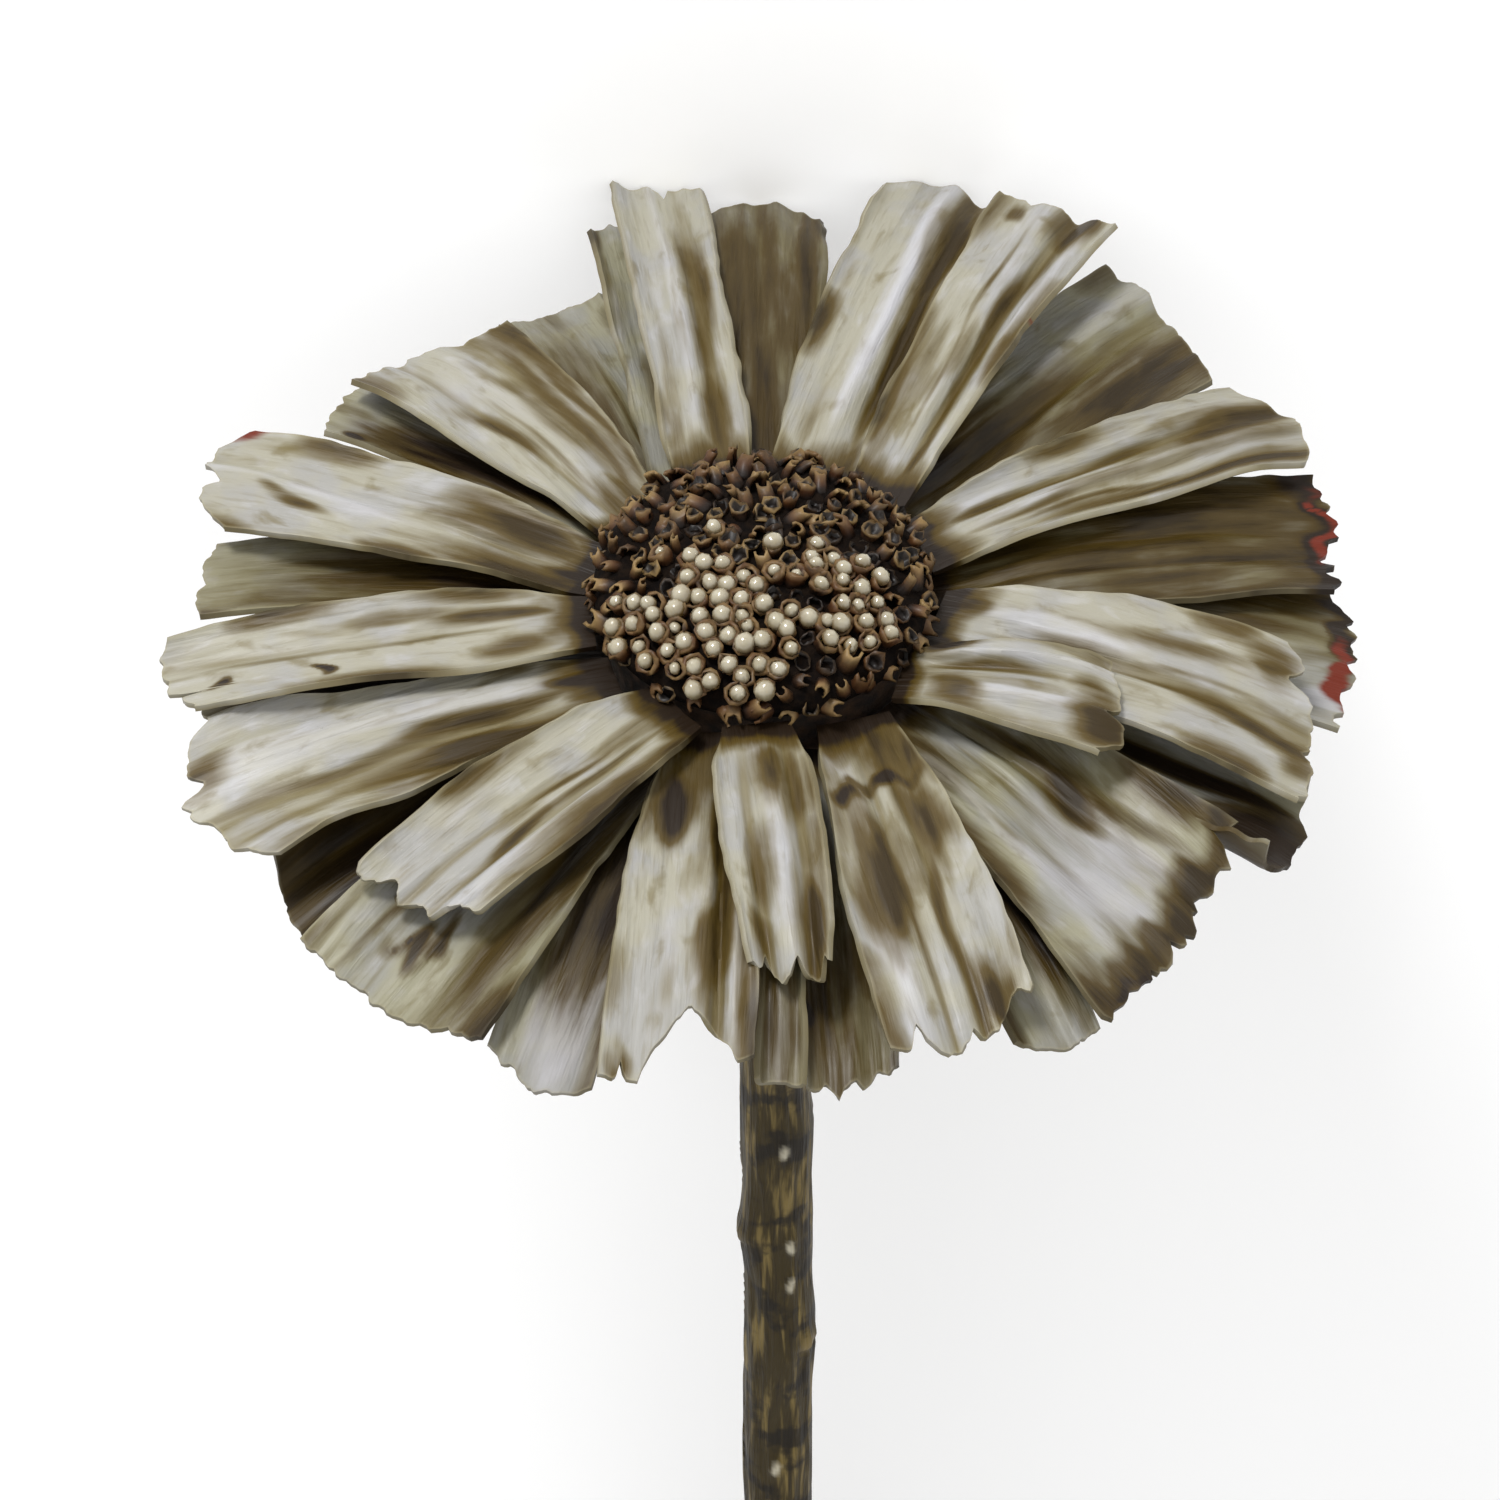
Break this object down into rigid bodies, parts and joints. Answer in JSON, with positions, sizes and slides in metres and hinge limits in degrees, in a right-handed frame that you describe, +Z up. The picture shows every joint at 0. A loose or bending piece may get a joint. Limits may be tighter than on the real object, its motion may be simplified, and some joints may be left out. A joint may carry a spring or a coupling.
{
  "type": "waxed protea",
  "caption": "Dried and waxed protea flower head with open trimmed bracts round a low dome of florets, on a cut woody stem, lying on its side.",
  "frame": {"origin": "middle of the bottom of the box: Z = 0 is the surface that the flower lies on", "axes": "+Z up, +Y along the lying stem away from the head, -Y the way the face looks, +X to the right of a viewer who looks along +Y"},
  "size_m": [0.1012, 0.238, 0.1002],
  "materials": {
    "stem_bark": "dark olive-brown bark with knobs and leaf scars, lightly waxed",
    "receptacle_wood": "near-black woody cup, dry",
    "floret_stub": "brown dried tubular floret stubs, some with pearly beads of wax",
    "inner_bract_wax": "pale grey-green dried bract under a thin semi-gloss wax coat, grooved, with olive-brown streaks",
    "outer_bract_wax": "darker olive-grey dried bract under a thin wax coat, grooved, with a dark edge",
    "wax_bead": "small pearly beads of off-white wax on the florets",
    "base_scale_wax": "brown dried scale with a thin wax coat and a paler edge"
  },
  "bodies": {
    "root": {"stem": "stem_bark", "receptacle": "receptacle_wood", "floret_dome": "floret_stub", "inner_bract_01": "inner_bract_wax", "inner_bract_02": "inner_bract_wax", "inner_bract_03": "inner_bract_wax", "inner_bract_04": "inner_bract_wax", "inner_bract_05": "inner_bract_wax", "inner_bract_06": "inner_bract_wax", "inner_bract_07": "inner_bract_wax", "inner_bract_08": "inner_bract_wax", "inner_bract_09": "inner_bract_wax", "inner_bract_10": "inner_bract_wax", "inner_bract_11": "inner_bract_wax", "inner_bract_12": "inner_bract_wax", "inner_bract_13": "inner_bract_wax", "inner_bract_14": "inner_bract_wax", "outer_bract_01": "outer_bract_wax", "outer_bract_02": "outer_bract_wax", "outer_bract_03": "outer_bract_wax", "outer_bract_04": "outer_bract_wax", "outer_bract_05": "outer_bract_wax", "outer_bract_06": "outer_bract_wax", "outer_bract_07": "outer_bract_wax", "outer_bract_08": "outer_bract_wax", "outer_bract_09": "outer_bract_wax", "outer_bract_10": "outer_bract_wax", "outer_bract_11": "outer_bract_wax", "outer_bract_12": "outer_bract_wax", "outer_bract_13": "outer_bract_wax", "outer_bract_14": "outer_bract_wax", "outer_bract_15": "outer_bract_wax", "outer_bract_16": "outer_bract_wax", "outer_bract_17": "outer_bract_wax", "base_scale_01": "base_scale_wax", "base_scale_02": "base_scale_wax", "base_scale_03": "base_scale_wax", "base_scale_04": "base_scale_wax", "base_scale_05": "base_scale_wax", "base_scale_06": "base_scale_wax", "base_scale_07": "base_scale_wax", "base_scale_08": "base_scale_wax", "base_scale_09": "base_scale_wax", "base_scale_10": "base_scale_wax", "base_scale_11": "base_scale_wax", "base_scale_12": "base_scale_wax", "base_scale_13": "base_scale_wax", "base_scale_14": "base_scale_wax", "base_scale_15": "base_scale_wax", "base_scale_16": "base_scale_wax", "base_scale_17": "base_scale_wax", "base_scale_18": "base_scale_wax", "base_scale_19": "base_scale_wax", "base_scale_20": "base_scale_wax", "base_scale_21": "base_scale_wax", "base_scale_22": "base_scale_wax", "base_scale_23": "base_scale_wax", "base_scale_24": "base_scale_wax", "base_scale_25": "base_scale_wax", "base_scale_26": "base_scale_wax"}
  },
  "joints": []
}
